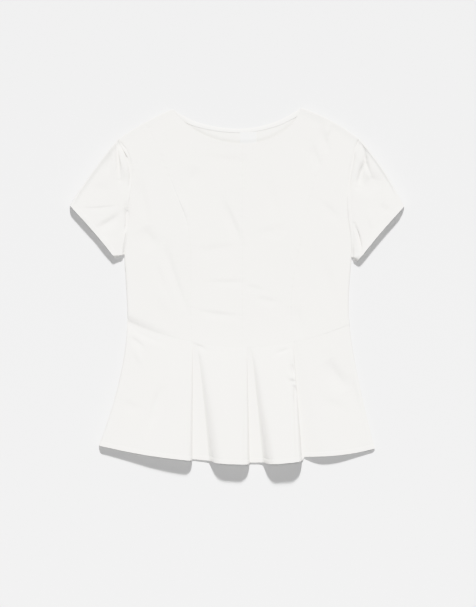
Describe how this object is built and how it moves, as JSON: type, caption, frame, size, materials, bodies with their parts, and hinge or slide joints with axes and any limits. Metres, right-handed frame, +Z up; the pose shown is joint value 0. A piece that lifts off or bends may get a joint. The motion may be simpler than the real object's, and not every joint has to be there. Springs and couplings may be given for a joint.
{
  "type": "peplum top, laid flat",
  "caption": "Short-sleeved woven top with a fitted bodice and a pleated peplum, laid flat with its front up.",
  "frame": {"origin": "on the surface that the top lies on, below the middle of its bounding box", "axes": "+Z up from the surface, +Y to the neck, +X to the right of someone looking down on the front"},
  "size_m": [0.6024, 0.6406, 0.0285],
  "materials": {
    "cotton": "matte plain-woven cotton, off-white",
    "binding": "matte bias-cut cotton, white",
    "label": "soft satin weave, white and bare"
  },
  "bodies": {
    "root": {"back_bodice": "cotton", "back_peplum": "cotton", "front_centre_left": "cotton", "front_centre_right": "cotton", "front_side_left": "cotton", "front_side_right": "cotton", "front_peplum": "cotton", "sleeve_left": "cotton", "sleeve_right": "cotton", "back_neck_binding": "binding", "neck_label": "label"}
  },
  "joints": []
}
